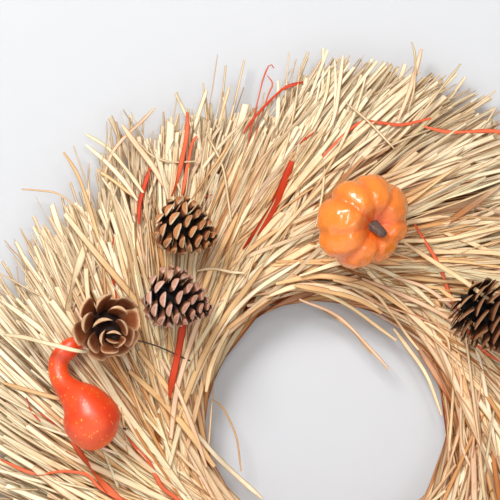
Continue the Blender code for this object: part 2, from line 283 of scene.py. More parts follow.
# ------------------------------------------------------------------ mesh helper
class Build:
    """Gathers closed shells with UVs and tints, and makes one object of them."""

    def __init__(self):
        self.v, self.f, self.uv, self.uv2, self.c = [], [], [], [], []
        self.n = 0

    def shell(self, verts, faces, uv, uv2, tint):
        """verts (n,3); faces: list of index tuples; uv and uv2: one pair for each corner; tint (n,3)."""
        self.v.append(np.asarray(verts, float))
        self.f += [tuple(i + self.n for i in f) for f in faces]
        self.uv.append(np.asarray(uv, float))
        self.uv2.append(np.asarray(uv2, float))
        self.c.append(np.asarray(tint, float))
        self.n += len(verts)

    def make(self, name, mat, sharp=38.0):
        mesh = bpy.data.meshes.new(name)
        mesh.from_pydata(np.concatenate(self.v).tolist(), [], self.f)
        for label, data in (("OFBake", self.uv), ("Strand", self.uv2)):
            layer = mesh.uv_layers.new(name=label)
            layer.data.foreach_set("uv", np.concatenate(data).astype(np.float32).ravel())
        mesh.uv_layers["OFBake"].active_render = True
        mesh.uv_layers.active = mesh.uv_layers["OFBake"]
        tint = mesh.color_attributes.new("Tint", "FLOAT_COLOR", "POINT")
        c = np.concatenate(self.c)
        tint.data.foreach_set("color", np.concatenate([c, np.ones((len(c), 1))], axis=1).astype(np.float32).ravel())
        mesh.color_attributes.active_color = tint
        mesh.materials.append(mat)
        mesh.shade_smooth()
        mesh.set_sharp_from_angle(angle=math.radians(sharp))
        mesh.update()
        obj = bpy.data.objects.new(name, mesh)
        bpy.context.scene.collection.objects.link(obj)
        return obj


def unit(a):
    return a / np.maximum(np.linalg.norm(a, axis=-1, keepdims=True), 1e-12)


def loft(rings, closed_ends=True):
    """Faces of a lofted tube of equal rings, with end caps, and the (ring, side) of each corner."""
    n, k = rings
    faces, corner = [], []
    for i in range(n - 1):
        for j in range(k):
            j2 = (j + 1) % k
            faces.append((i * k + j, i * k + j2, (i + 1) * k + j2, (i + 1) * k + j))
            corner += [(i, j), (i, j + 1), (i + 1, j + 1), (i + 1, j)]
    if closed_ends:
        faces.append(tuple(range(k - 1, -1, -1)))
        corner += [(0, j) for j in range(k - 1, -1, -1)]
        faces.append(tuple((n - 1) * k + j for j in range(k)))
        corner += [(n - 1, j) for j in range(k)]
    return faces, np.array(corner, float)


_LOFTS = {}


def loft_cached(n, k):
    if (n, k) not in _LOFTS:
        _LOFTS[(n, k)] = loft((n, k))
    return _LOFTS[(n, k)]


# painted shade: the dark brown painted along each strand's two long edges
EDGE_SHADE = (0.43, 0.215, 0.07)


def ribbon(points, width, roll, thick, fold, tint, cut=0.0):
    """One flat strand as a closed shell. points (n,3) in metres; width, roll (n,) in metres and radians; fold is how far
    its middle stands out of its edges, as a share of the width; tint (n,3). Returns what Build.shell wants, less the OFBake UVs."""
    p = np.asarray(points, float)
    n = len(p)
    t = unit(np.gradient(p, axis=0))
    view = np.array([0.0, -1.0, 0.0])
    side = np.cross(t, view)
    side = unit(side + 1e-9)
    up = unit(np.cross(side, t))
    c, s = np.cos(roll)[:, None], np.sin(roll)[:, None]
    side, up = side * c + up * s, up * c - side * s
    w = np.asarray(width, float)[:, None]
    if np.max(width) > 0.0024:
        sections = [(-0.5, 0.0, 0.12), (-0.27, 1.0, 1.0), (0.27, -0.45, 1.0), (0.5, 0.25, 0.12), (0.27, -0.45, -1.0), (-0.27, 1.0, -1.0)]
    else:
        sections = [(-0.5, 0.0, 0.15), (0.0, 1.0, 1.0), (0.5, 0.0, 0.15), (0.0, 1.0, -1.0)]
    k = len(sections)
    out = np.empty((n, k, 3))
    for j, (a, b, h) in enumerate(sections):
        out[:, j] = p + side * (a * w) + up * (b * fold * w + h * thick / 2)
    # a slanted cut at the tip
    for j, (a, _, _) in enumerate(sections):
        out[-1, j] += t[-1] * (a * cut * w[-1])
    faces, corner = loft_cached(n, k)
    # painted shade: the long edges are painted dark brown and the underside a little darker than the top, so each
    # strand reads as rounded and shaded
    shade = np.array([EDGE_SHADE if abs(h) < 0.5 else (1.0, 1.0, 1.0) if h > 0 else (0.90, 0.82, 0.70) for _, _, h in sections])
    colours = np.clip(np.asarray(tint)[:, None, :] * shade[None, :, :], 0, 1)
    return out.reshape(-1, 3), faces, corner, n, k, colours.reshape(-1, 3)


class Strands(Build):
    """Many ribbons. Each gets a strip of the bake map, and its own stretch of the fibre pattern."""

    def __init__(self, expected, columns=4):
        super().__init__()
        self.columns = columns
        self.rows = math.ceil(expected / columns)
        self.count = 0

    def add(self, points, width, roll, thick, fold, tint, cut=0.0):
        verts, faces, corner, n, k, colours = ribbon(points, width, roll, thick, fold, tint, cut)
        run = np.concatenate([[0], np.cumsum(np.linalg.norm(np.diff(points, axis=0), axis=1))])
        column, row = self.count % self.columns, self.count // self.columns
        h = 1.0 / max(self.rows, 1)
        u = (column + 0.02 + 0.96 * corner[:, 0] / (n - 1)) / self.columns
        v = (row + 0.06 + 0.88 * corner[:, 1] / k) * h
        metric = np.stack(
            [run[corner[:, 0].astype(int)] * 50.0 + self.count * 3.7, corner[:, 1] / k + self.count * 1.618], axis=1
        )
        self.shell(verts, faces, np.stack([u, v], axis=1), metric, colours)
        self.count += 1


# ------------------------------------------------------------------ raffia
CREAM = [srgb(255, 237, 205), srgb(252, 229, 190), srgb(247, 217, 171), srgb(238, 197, 142), srgb(243, 231, 192), srgb(223, 168, 106), srgb(186, 120, 62), srgb(247, 211, 176)]
CREAM_ODDS = np.array([0.19, 0.26, 0.20, 0.11, 0.13, 0.05, 0.02, 0.04])
# painted shade colours for strands deep in the mass: first gold, then near-black brown
SHADE_GOLD = srgb(198, 118, 44)
SHADE_DEEP = srgb(82, 24, 3)
# painted shade: the tone of the dark strands set in among the others to stand for shadow in the gaps
SHADOW_STRAND_TONE = np.array([0.62, 0.36, 0.17])

FRONT_R = [80.0, 90.0, 98.0, 108.0, 122.0, 145.0, 175.0, 205.0, 235.0, 265.0, 290.0]
FRONT_D = [-9.0, -18.0, -25.0, -29.5, -32.0, -35.0, -35.0, -31.0, -24.0, -15.0, -10.0]
BACK_R = [80.0, 96.0, 130.0, 200.0, 260.0, 300.0]
BACK_D = [-5.0, -2.8, -2.8, -2.8, -2.6, -2.6]


def depth(radius, share):
    front = np.interp(radius, FRONT_R, FRONT_D)
    back = np.interp(radius, BACK_R, BACK_D)
    return back + (front - back) * share


def smooth(x):
    x = np.clip(x, 0, 1)
    return x * x * (3 - 2 * x)


def wander(n, knots, size):
    """A slow random wander of that size, n samples."""
    return np.interp(np.linspace(0, 1, n), np.linspace(0, 1, knots), rng.normal(0, size, knots))


def strand_path(phi, tangent_r, bend, s0, s1, share, n, ramp=True, lift=0.0):
    """A nearly straight strand that touches a circle about the ring's centre at angle phi (radians) and runs on clockwise."""
    s = np.linspace(-s0, s1, n)
    e_r = np.array([math.cos(phi), math.sin(phi)])
    e_t = np.array([-e_r[1], e_r[0]])
    radial = tangent_r - bend * s * np.abs(s) / 2 * np.where(s > 0, 1, 0.3)
    xz = radial[:, None] * e_r - s[:, None] * e_t
    xz = xz + (wander(n, 6, 1.7) * smooth((s + 20) / 110))[:, None] * e_r
    r = np.hypot(xz[:, 0], xz[:, 1])
    f = share * (0.35 + 0.65 * smooth((s + s0) / (s0 + 55))) if ramp else np.full(n, share)
    f = np.clip(f + wander(n, 4, 0.05), 0.0, 1.06)
    y = depth(r, f) - lift * smooth(s / 60)
    return xz, y, r, s


def tint_of(share, r, n, tone=1.0):
    base = CREAM[rng.choice(len(CREAM), p=CREAM_ODDS)] * rng.normal(1.0, 0.07) * tone
    # painted shade: the lower a strand lies in the mass (the smaller its share), the more its tint goes toward gold and
    # then toward near-black brown, for the shade down between the strands; a little more near the ring's core, less at
    # the hole's rim and toward the outer ends, which are also made paler
    deep = np.clip(1.88 - share * 2.1 + rng.normal(0, 0.07), 0, 0.96)
    deep = deep * (0.10 + 0.90 * smooth((share - 0.13) / 0.17))  # the back of the wreath is as pale as its front
    out = smooth((r - 182) / 55.0)[:, None]
    root = (1 - smooth((r - 92) / 45.0))[:, None] * 0.10
    rim = (1 - smooth((r - 87) / 17.0))[:, None] * 0.88
    mix = np.clip(deep * (1 - 0.86 * out) * (1 - rim) + root, 0, 0.95)
    half = np.clip(mix * 2, 0, 1)
    c = base[None, :] * (1 - half) + SHADE_GOLD[None, :] * base[None, :] * half
    dark = np.clip(mix * 2 - 1, 0, 1)
    c = c * (1 - dark) + SHADE_DEEP[None, :] * dark
    pale = out * 0.62
    c = c * (1 - pale) + srgb(250, 246, 217)[None, :] * pale
    return np.clip(c, 0, 0.97)


N_BUNCH = 12
strand_sets = [Strands(520) for _ in range(N_BUNCH)]


def bunch_of(phi):
    """Which bunch a strand that touches its circle at phi belongs to: the neck is about 45 degrees clockwise of the touch."""
    a = math.degrees(phi) - 38.0
    return int(round(a / 30.0)) % N_BUNCH


def wider(phi):
    return 5.0 * math.exp(-((((math.degrees(phi) - 112 + 180) % 360 - 180) / 30) ** 2))


def add_strand(phi, tangent_r, bend, s0, s1, share, width, roll=None, thick=0.30, n=15, lift=0.0, ramp=True, kink=None, tone=1.0):
    xz, y, r, s = strand_path(phi, tangent_r, bend, s0, s1, share, n, ramp, lift)
    if kink:
        where, angle = kink
        start = int(n * where)
        a = math.radians(angle)
        rot = np.array([[math.cos(a), -math.sin(a)], [math.sin(a), math.cos(a)]])
        xz[start:] = xz[start] + (xz[start:] - xz[start]) @ rot.T
    far = np.hypot(xz[:, 0], xz[:, 1])
    xz = xz * np.minimum(1.0, 283.0 / far)[:, None]
    pts = np.stack([CX + xz[:, 0] * MM, RAIL_Y + y * MM, CZ + xz[:, 1] * MM], axis=1)
    t = np.linspace(0, 1, n)
    w = width * MM * (0.72 + 0.28 * smooth(t / 0.25)) * (1 - 0.18 * smooth((t - 0.75) / 0.25)) * (1 + wander(n, 6, 0.09))
    w = np.maximum(w, 0.0004)
    if roll is None:
        roll = rng.normal(0, 0.45)
    rolls = roll + wander(n, 4, 0.42)
    strand_sets[bunch_of(phi)].add(
        pts, w, rolls, thick * MM, rng.uniform(0.02, 0.16), tint_of(share, r, n, tone), rng.uniform(-0.5, 0.5)
    )


def reach(tangent_r, bend, r_end):
    """How far along a strand its radius reaches r_end."""
    s = np.linspace(5, 330, 200)
    r = np.hypot(tangent_r - bend * s * s / 2, s)
    return float(np.interp(r_end, r, s))


# name: how many tufts, strands in each, where they end, that end's spread, spread round the ring, lowest and highest layer
TUFTS = [(38, 37, 255.0, 10.0, 0.030, 0.10, 0.46), (40, 38, 241.0, 11.0, 0.048, 0.38, 0.78), (46, 42, 231.0, 17.0, 0.052, 0.70, 1.0)]


def grown(degrees):
    """How much further out the raffia reaches there, in mm: longer at the upper right and the left, with notches between."""
    bump = lambda at, wide: math.exp(-(((degrees - at + 180) % 360 - 180) / wide) ** 2)
    return 12 * bump(70, 20) - 11 * bump(106, 9) - 14 * bump(96.5, 3.0) + 4 * bump(121, 4) - 24 * bump(132.5, 5.5) + 8 * bump(158, 10)


def shaped_reach(phi, tangent_r, bend, r_end, most=276.0):
    """Where along the strand it ends, with the outline's length at the angle where it comes out."""
    s = reach(tangent_r, bend, r_end)
    at = math.degrees(phi) - math.degrees(math.atan2(s, tangent_r - bend * s * s / 2))
    return reach(tangent_r, bend, min(r_end + grown(at) * min(1.0, max(0.0, (r_end - 195.0) / 40.0)), most))


for tufts, many, r_far, r_vary, spread_c, low, high in TUFTS:
    for c in range(tufts):
        phi_c = 2 * math.pi * (c + rng.uniform(-0.38, 0.38)) / tufts
        r_end_c = r_far + rng.normal(0, r_vary)
        share_c = rng.uniform(low, high)
        tangent_c = rng.uniform(101, 126) + 26 * math.exp(-(((math.degrees(phi_c) - 122) / 30) ** 2))
        bend_c = rng.normal(1 / 1350, 1 / 2800)
        spread = spread_c * rng.uniform(0.75, 1.3)
        tone = rng.normal(1.0, 0.05)
        broad = rng.uniform(2.5, 3.7)
        for k in range(many):
            phi = phi_c + rng.normal(0, spread)
            tangent_r = float(np.clip(tangent_c + rng.normal(0, 8.5), 93 + wider(phi), 160))
            bend = bend_c + rng.normal(0, 1 / 4500)
            r_end = r_end_c + rng.normal(0, 4.5) - (rng.uniform(10, 75) if rng.random() < 0.12 else 0)
            s1 = shaped_reach(phi, tangent_r, bend, r_end)
            share = float(np.clip(share_c + rng.normal(0, 0.07), 0.02, 1.0))
            width = float(np.clip(rng.lognormal(math.log(broad), 0.45), 0.8, 7.2))
            kink = (rng.uniform(0.62, 0.9), rng.normal(0, 13)) if rng.random() < 0.25 else None
            # painted shade: about one strand in six is a dark shadow strand, narrower and set a little lower, to darken
            # the gaps between strands
            shadow_strand = rng.random() < 0.16
            add_strand(
                phi, tangent_r, bend, rng.uniform(8, 42), s1, share - 0.05 * shadow_strand, max(width * (0.62 if shadow_strand else 1.0), 0.8), kink=kink, tone=tone * SHADOW_STRAND_TONE if shadow_strand else tone
            )

# a cover over the ties, near the rim of the hole
for k in range(240):
    phi = rng.uniform(0, 2 * math.pi)
    tangent_r = rng.uniform(96 + wider(phi), 126)
    bend = rng.normal(1 / 1500, 1 / 3500)
    s1 = shaped_reach(phi, tangent_r, bend, rng.uniform(195, 255))
    # painted shade: every sixth cover strand is a dark, narrower shadow strand
    shadow_strand = k % 6 == 0
    add_strand(
        phi, tangent_r, bend, rng.uniform(30, 70), s1, rng.uniform(0.86, 1.02) - 0.05 * shadow_strand, float(np.clip(rng.lognormal(math.log(2.2 if shadow_strand else 3.6), 0.42), 1.0, 7.5)), ramp=False, tone=SHADOW_STRAND_TONE if shadow_strand else 1.0
    )

# strands that hug the rim of the hole
for k in range(270):
    phi = rng.uniform(0, 2 * math.pi)
    tangent_r = rng.uniform(90, 102) + wider(phi)
    bend = rng.normal(1 / 1500, 1 / 4500)
    s1 = shaped_reach(phi, tangent_r, bend, rng.uniform(175, 250))
    add_strand(phi, tangent_r, bend, rng.uniform(20, 60), s1, rng.uniform(0.05, 1.0), float(np.clip(rng.lognormal(math.log(3.4), 0.40), 1.0, 7.0)))

# long thin strays past the edge
for k in range(130):
    phi = rng.uniform(0, 2 * math.pi)
    tangent_r = rng.uniform(92, 135)
    bend = rng.normal(1 / 1400, 1 / 1800)
    s1 = reach(tangent_r, bend, rng.uniform(262, 283))
    add_strand(phi, tangent_r, bend, 10, s1, rng.uniform(0.1, 1.0), rng.uniform(0.6, 2.4), n=16, kink=(rng.uniform(0.6, 0.85), rng.normal(0, 14)))


def add_free(x, z, heading, length, curve, share, width, over=0.0, n=12):
    """A strand from (x, z) that runs its own way: heading and curve in degrees, the curve over its whole length."""
    a = np.radians(heading + np.linspace(0, curve, n))
    step = length / (n - 1)
    xs = x + np.concatenate([[0], np.cumsum(np.cos(a[:-1]) * step)])
    zs = z + np.concatenate([[0], np.cumsum(np.sin(a[:-1]) * step)])
    r = np.hypot(xs, zs)
    t = np.linspace(0, 1, n)
    y = depth(r, share) - over * np.sin(math.pi * np.clip(t * 1.1, 0, 1))
    y = y + 6.0 * (1 - smooth(t / 0.22))
    pts = np.stack([CX + xs * MM, RAIL_Y + y * MM, CZ + zs * MM], axis=1)
    w = width * MM * (0.7 + 0.3 * smooth(t / 0.2)) * (1 - 0.3 * smooth((t - 0.7) / 0.3)) * (1 + wander(n, 5, 0.10))
    which = int(round((math.degrees(math.atan2(z, x)) + 25) / 30.0)) % N_BUNCH
    strand_sets[which].add(pts, np.maximum(w, 0.0004), rng.normal(0, 0.4) + wander(n, 4, 0.35), 0.28 * MM, rng.uniform(0.02, 0.14), tint_of(share, r, n), rng.uniform(-0.7, 0.7))


# strands that cross the others on top
for k in range(230):
    at_a = rng.uniform(0, 2 * math.pi)
    at_r = rng.uniform(120, 215)
    x, z = at_r * math.cos(at_a), at_r * math.sin(at_a)
    flow = math.degrees(at_a) - np.interp(at_r, [110, 160, 215], [72, 52, 38])
    off = rng.choice([-1, 1]) * abs(rng.normal(16, 13))
    length = rng.uniform(45, 120)
    add_free(x, z, flow + off, min(length, 1.1 * (268 - at_r)), rng.normal(0, 14), rng.uniform(0.9, 1.04), float(np.clip(rng.lognormal(math.log(2.3), 0.5), 0.7, 5.4)), over=rng.uniform(0, 2.5))

for i, strands in enumerate(strand_sets):
    piece = strands.make(f"raffia_strands_{i + 1:02d}", RAFFIA)
    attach(piece, "wreath")
    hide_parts(f"raffia_bunch_{i + 1:02d}")


# ------------------------------------------------------------------ dyed raffia
ORANGES = [srgb(240, 104, 60), srgb(252, 134, 90), srgb(216, 68, 26), srgb(246, 116, 72)]


def curve_through(points, n):
    pts = np.asarray(points, float)
    ext = np.vstack([2 * pts[0] - pts[1], pts, 2 * pts[-1] - pts[-2]])
    fine = []
    for i in range(1, len(ext) - 2):
        p0, p1, p2, p3 = ext[i - 1 : i + 3]
        for t in np.linspace(0, 1, 12, endpoint=False):
            fine.append(0.5 * (2 * p1 + (p2 - p0) * t + (2 * p0 - 5 * p1 + 4 * p2 - p3) * t * t + (3 * p1 - p0 - 3 * p2 + p3) * t**3))
    fine.append(pts[-1])
    fine = np.array(fine)
    run = np.concatenate([[0], np.cumsum(np.linalg.norm(np.diff(fine, axis=0), axis=1))])
    at = np.linspace(0, run[-1], n)
    return np.stack([np.interp(at, run, fine[:, k]) for k in range(fine.shape[1])], axis=1)


def laid(line, width, name=None, n=24, over=-0.4, roll=0.15, colours=ORANGES, fold=0.08, twist=0.75):
    """A strand laid along points (x, z[, extra height]) over the raffia."""
    line = np.array([p if len(p) == 3 else (*p, 0.0) for p in line], float)
    c = curve_through(line, n)
    r = np.hypot(c[:, 0], c[:, 1])
    y = depth(r, 1.0) - over - c[:, 2] + wander(n, 6, 0.5)
    pts = np.stack([CX + c[:, 0] * MM, RAIL_Y + y * MM, CZ + c[:, 1] * MM], axis=1)
    t = np.linspace(0, 1, n)
    w = width * MM * (0.6 + 0.4 * smooth(np.minimum(t, 1 - t) / 0.18)) * (1 + wander(n, 6, 0.08))
    tint = np.repeat(colours[rng.integers(len(colours))][None, :] * rng.normal(1, 0.04), n, axis=0) * (1 + wander(n, 6, 0.06))[:, None]
    return pts, w, roll + wander(n, 4, twist), tint, fold


OVER = 0.2


def dyed_piece(name, lines, replaces=(), mat=ORANGE, colours=ORANGES, twist=0.7):
    b = Strands(max(4, len(lines)), columns=1)
    for line, width, *extra in lines:
        over = extra[0] if extra else OVER
        pts, w, roll, tint, fold = laid(line, width, over=over, colours=colours, twist=twist)
        b.add(pts, w, roll, 0.32 * MM, fold, np.clip(tint, 0, 1), rng.uniform(-0.5, 0.5))
    piece = b.make(name, mat)
    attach(piece, "wreath")
    if replaces:
        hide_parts(*replaces)
    return piece


dyed_piece("dyed_strands_1", [([(-104, 234), (-105, 213), (-112.5, 179), (-118, 165), (-124, 150)], 3.6, 1.6), ([(-97, 216), (-101, 208), (-107, 176), (-112, 166)], 3.2, 1.2), ([(-131.5, 193.5), (-139.5, 166), (-140, 150)], 3.4, 1.6), ([(-85, 172), (-92, 169.5)], 1.0)], ["orange_strand_1"])
dyed_piece("dyed_strands_2", [([(-25.5, 197), (-32, 180), (-39, 163), (-49, 148), (-56, 139), (-62, 131)], 7.0, 2.4), ([(-9, 219), (-22.5, 209)], 2.2)], ["orange_strand_2"], colours=[srgb(208, 62, 22), srgb(226, 82, 36)], twist=0.45)
dyed_piece("dyed_strands_3", [([(66, 150), (73, 138), (84.5, 118.5), (94.5, 91.5), (107.5, 68), (118, 55), (130.5, 47)], 3.2, 1.6)], ["orange_strand_3"])
dyed_piece("dyed_strands_4", [([(-190, -12), (-186.5, -17), (-172, -38), (-152, -58), (-134, -66)], 6.0, 1.6), ([(-153, -2), (-144, -15), (-132, -29), (-123, -46.5), (-110.5, -57), (-100, -75)], 3.8, 1.6), ([(-244.5, -27), (-219, -37), (-196, -35), (-178.5, -37.5), (-170, -46.5), (-154, -55), (-135, -62)], 3.2, 1.8)], ["orange_strand_4"])
dyed_piece("dyed_strands_5", [([(-104, 80), (-107, 73.5), (-111, 52), (-115.5, 31), (-117, 20)], 5.6, 4.0), ([(-104, 128), (-107, 117), (-109, 104)], 4.6), ([(-159, 140), (-160, 118), (-157.5, 96), (-152, 80)], 3.0)], ["orange_strand_5"])
dyed_piece(
    "dyed_strands_more",
    [
        ([(-3, 200), (10.5, 214), (25.5, 226), (40, 226), (57, 224.5), (79, 229.5)], 2.6, 1.4),
        ([(74, 223), (94, 219), (127, 220), (150, 214)], 3.0, 1.2),
        ([(-60, 205), (-50, 247.5), (-46.5, 261), (-42, 270.5), (-39, 267.5)], 1.5),
        ([(-55, 210), (-44, 245), (-40, 255.5), (-44, 262)], 1.2),
        ([(-62, 218), (-54.5, 229), (-33, 251), (-17, 257)], 3.0),
        ([(-225, 21.5), (-221, 10), (-214, 2)], 1.6),
        ([(-215, 9), (-203, 0), (-193, -8)], 1.4),
        ([(40, -222), (52, -190), (54, -160), (50, -130)], 3.6),
        ([(-120, -205), (-96, -180), (-84, -150), (-70, -128)], 3.0),
        ([(215, -40), (188, -52), (160, -48), (132, -40)], 3.6),
        ([(192, 118), (176, 100), (170, 80), (160, 66)], 3.0),
    ],
)


# single straw strands that stand out from the mass: over the rim, over the gourd's neck and the right-hand cone, and past the edge
dyed_piece(
    "raffia_strands_loose",
    [
        ([(-45.2, 95.0), (-28.1, 100.9), (-9.6, 100.1), (14.1, 90.5), (40.0, 72.0), (53.3, 62.4)], 3.4, 1.5),
        ([(-86.2, 18.9), (-77.0, 10.6), (-70.3, -2.8), (-66.6, -13.9), (-63.7, -36.8)], 1.5, 1.0),
        ([(-83.9, 34.3), (-85.9, 12.0), (-88.1, -16.8)], 1.6, 1.0),
        ([(-97.0, -7.2), (-83.7, -23.5), (-67.4, -39.8), (-48.1, -56.8)], 4.4, 1.5),
        ([(51.1, 71.3), (60.7, 58.7), (76.3, 35.7), (87.4, 6.1)], 3.4, 1.0),
        ([(91.1, 60.2), (95.5, 43.1), (94.8, 12.0), (92.6, -20.5)], 2.4, 0.5),
        ([(97.0, 47.6), (101.4, 30.5), (101.4, -12.4), (110.3, -36.8)], 2.4, 0.5),
        ([(110.3, 63.9), (116.2, 41.7), (122.2, 8.3), (128.1, -26.5)], 3.2, 1.0),
        ([(57.8, 136.4, 0), (80.0, 121.6, 12), (100.0, 108.3, 28), (111.8, 99.4, 34), (123.7, 90.5, 33)], 4.0, 1.0),
        ([(83.7, 93.5, 6), (97.0, 93.5, 22), (111.1, 92.7, 34)], 3.0, 1.0),
        ([(83.7, 102.4, 4), (97.7, 90.5, 22), (108.8, 75.7, 33), (118.5, 59.4, 33)], 3.4, 1.0),
        ([(-242.7, 67.0, 0), (-226.5, 65.3, 10), (-211.8, 62.4, 25), (-198.4, 59.5, 33), (-186.6, 56.6, 34), (-178, 55.2, 26), (-168, 54, 12)], 3.4, 0.5),
        ([(64.9, 287.5), (67.4, 277.1), (66.6, 252.7), (61.5, 234.1)], 1.7, 2.0),
        ([(72.6, 282.3), (68.1, 266.7), (62.2, 247.5), (54.1, 228.2)], 3.4, 1.5),
        ([(102.2, 271.2), (90.3, 256.4), (80.0, 243.0), (65.2, 223.8)], 2.0, 1.5),
        ([(-229.5, 176.4), (-215.4, 175.3), (-201.4, 172.7), (-186.6, 161.6), (-174.0, 146.8)], 1.5, 2.0),
        ([(-197.7, 204.5), (-187.3, 188.2), (-179.2, 167.5), (-173.2, 148.3), (-167.3, 129.0)], 2.6, 2.0),
        ([(-128.8, 237.9), (-137.0, 229.0), (-145.1, 221.6), (-154.7, 211.9), (-162.0, 201.0), (-166.0, 188.0)], 2.8, 1.0),
        ([(13.3, 277.1), (10.4, 256.4), (6.7, 232.7), (-1.5, 211.9)], 3.2, 1.5),
        ([(3.0, 266.7), (-0.7, 244.5), (-11.1, 220.8)], 3.0, 1.0),
        ([(-81.4, 278.6), (-85.1, 253.4), (-89.6, 226.7)], 0.7, 1.0),
        ([(-242.1, 137.9), (-235.4, 129.8), (-227.3, 121.6), (-215.4, 105.3)], 1.0, 1.0),
        ([(-180.6, 217.9), (-163.6, 206.8), (-148.8, 189.7), (-137.0, 173.4)], 3.2, 2.0),
        ([(-180.6, 209.7), (-165.8, 197.1), (-151.8, 182.3), (-141.4, 167.5)], 3.4, 2.0),
        ([(-172.5, 191.2), (-159.2, 182.3), (-144.4, 170.5)], 2.4, 2.0),
        ([(-153.2, 224.5), (-143.6, 211.2), (-129.6, 192.7), (-119.2, 174.9)], 4.4, 2.0),
        ([(-113.3, 249.0), (-108.1, 238.6), (-101.4, 223.8)], 2.6, 1.5),
        ([(-89.6, 251.2), (-94.8, 235.6), (-99.2, 220.8)], 3.2, 1.0),
        ([(-72.5, 253.4), (-76.3, 240.1), (-80.7, 223.8)], 2.6, 1.0),
        ([(-100.7, 168.3), (-88.8, 186.0), (-76.3, 204.5), (-71.8, 213.4)], 2.0, 3.5),
        ([(-140.7, 211.9), (-129.6, 200.8), (-114.8, 196.4), (-95.5, 197.1)], 1.6, 3.5),
        ([(-165.1, 227.5), (-165.1, 211.9), (-169.5, 189.7), (-169.5, 167.5)], 1.0, 2.5),
        ([(-178.4, 195.7), (-178.4, 178.6), (-176.9, 163.1)], 1.6, 1.5),
        ([(-90.3, 219.3), (-77.7, 193.4), (-73.3, 167.5), (-70.3, 145.3)], 1.8, 2.5),
        ([(-57.0, 234.1), (-74.8, 203.1), (-89.6, 174.9), (-104.4, 140.9)], 2.0, 3.0),
        ([(14.1, 241.6), (31.8, 226.7), (51.1, 206.0)], 1.8, 4.0),
        ([(-242.1, 30.5), (-212.5, 22.4), (-178.4, 14.3)], 3.4, 1.0),
        ([(-219.9, -32.4), (-197.7, -48.7), (-178.4, -63.5)], 6.4, 2.0),
        ([(-147.3, 40.2), (-131.0, 25.4), (-108.8, 1.7), (-83.7, -32.4)], 5.4, 2.5),
        ([(-139.9, 55.0), (-117.7, 25.4), (-97.0, -10.2)], 4.6, 2.0),
        ([(-89.6, 93.5), (-101.4, 60.9), (-111.8, 25.4), (-116.2, -10.2)], 4.8, 2.5),
        ([(-48.1, 117.2), (-77.7, 77.2), (-97.0, 40.2), (-110.3, 4.6)], 5.0, 2.5),
        ([(-20.0, 121.6), (-57.0, 96.4), (-83.7, 63.9), (-101.4, 22.4)], 4.4, 3.0),
        ([(-123.6, 49.1), (-111.8, 26.9), (-101.4, 1.7), (-89.6, -32.4)], 3.4, 3.0),
        ([(-42.2, 96.4), (-20.0, 103.8), (9.6, 100.9), (39.2, 87.6)], 4.2, 2.5),
        ([(-20.0, 93.5), (9.6, 80.2), (34.8, 55.0), (48.1, 40.2)], 2.6, 2.5),
        ([(-37.7, 105.3), (-5.2, 111.2), (31.8, 103.8), (61.5, 84.6)], 4.8, 1.5),
        ([(-6.7, 89.0), (18.5, 71.3), (34.8, 52.0)], 2.0, 2.0),
        ([(-20.0, 111.2), (18.5, 121.6), (57.0, 108.3), (80.7, 89.0)], 4.4, 2.5),
        ([(-96.0, 115.0), (-88.0, 116.5), (-80.0, 116.0), (-70.5, 114.0), (-62.0, 113.5)], 2.4, 4.0),
        ([(5.2, 108.0), (34.0, 99.5), (48.0, 84.0), (61.4, 66.0), (69.8, 55.5)], 3.2, 3.0),
        ([(26.7, 109.0), (50.6, 99.5), (74.6, 88.7), (104.4, 73.2), (120.0, 70.2)], 3.6, 3.0),
        ([(50.6, 110.0), (74.6, 102.0), (97.3, 84.0), (104.5, 71.0)], 3.2, 3.5),
        ([(73.4, 76.7), (82.0, 72.0), (90.0, 64.8), (92.6, 55.5)], 2.4, 2.0),
        ([(-66.0, 158.0), (-73.0, 143.0), (-79.5, 129.5), (-87.0, 114.0), (-93.0, 98.0)], 4.4, 3.5),
        ([(-73.0, 71.0), (-80.5, 57.0), (-86.5, 42.0), (-90.0, 24.0)], 4.2, 3.5),
        ([(-24.0, 104.0), (-8.0, 101.5), (9.0, 98.0), (27.0, 92.0), (42.0, 83.0)], 4.4, 3.5),
    ],
    mat=RAFFIA,
    colours=CREAM[:5] + CREAM[7:],
    twist=0.35,
)


# ------------------------------------------------------------------ dressings
def turned(direction, roll=0.0):
    q = Vector(direction).normalized().to_track_quat("Z", "Y")
    return np.array(q.to_matrix() @ Matrix.Rotation(math.radians(roll), 3, "Z"))


def in_plane(degrees, rise=0.0):
    a, e = math.radians(degrees), math.radians(rise)
    return (math.cos(a) * math.cos(e), -math.sin(e), math.sin(a) * math.cos(e))


def grid_shell(build, verts, n, k, tint, cell=(0.0, 0.0, 1.0, 1.0), scale=1.0):
    """A lofted closed shell of n rings of k, into a cell (u0, v0, width, height) of the bake map."""
    faces, corner = loft_cached(n, k)
    u = cell[0] + cell[2] * (0.03 + 0.94 * corner[:, 1] / k)
    v = cell[1] + cell[3] * (0.03 + 0.94 * corner[:, 0] / (n - 1))
    uv = np.stack([u, v], axis=1)
    build.shell(verts, faces, uv, uv * scale, tint)


def bent_wire(name, line, radius, mat, body="wreath"):
    """A round wire along a line of (x, z, y)."""
    c = curve_through(line, 40)
    pts = np.array([P(x, z, y) for x, z, y in c])
    t = unit(np.gradient(pts, axis=0))
    side = unit(np.cross(t, np.array([0.0, -1.0, 0.0])) + 1e-9)
    up = np.cross(side, t)
    a = np.linspace(0, 2 * math.pi, 8, endpoint=False)
    verts = np.concatenate([pts[i] + side[i] * (radius * MM * np.cos(a))[:, None] - up[i] * (radius * MM * np.sin(a))[:, None] for i in range(40)])
    b = Build()
    grid_shell(b, verts, 40, 8, np.ones((320, 3)))
    piece = b.make(name, mat, 60)
    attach(piece, body)
    return piece


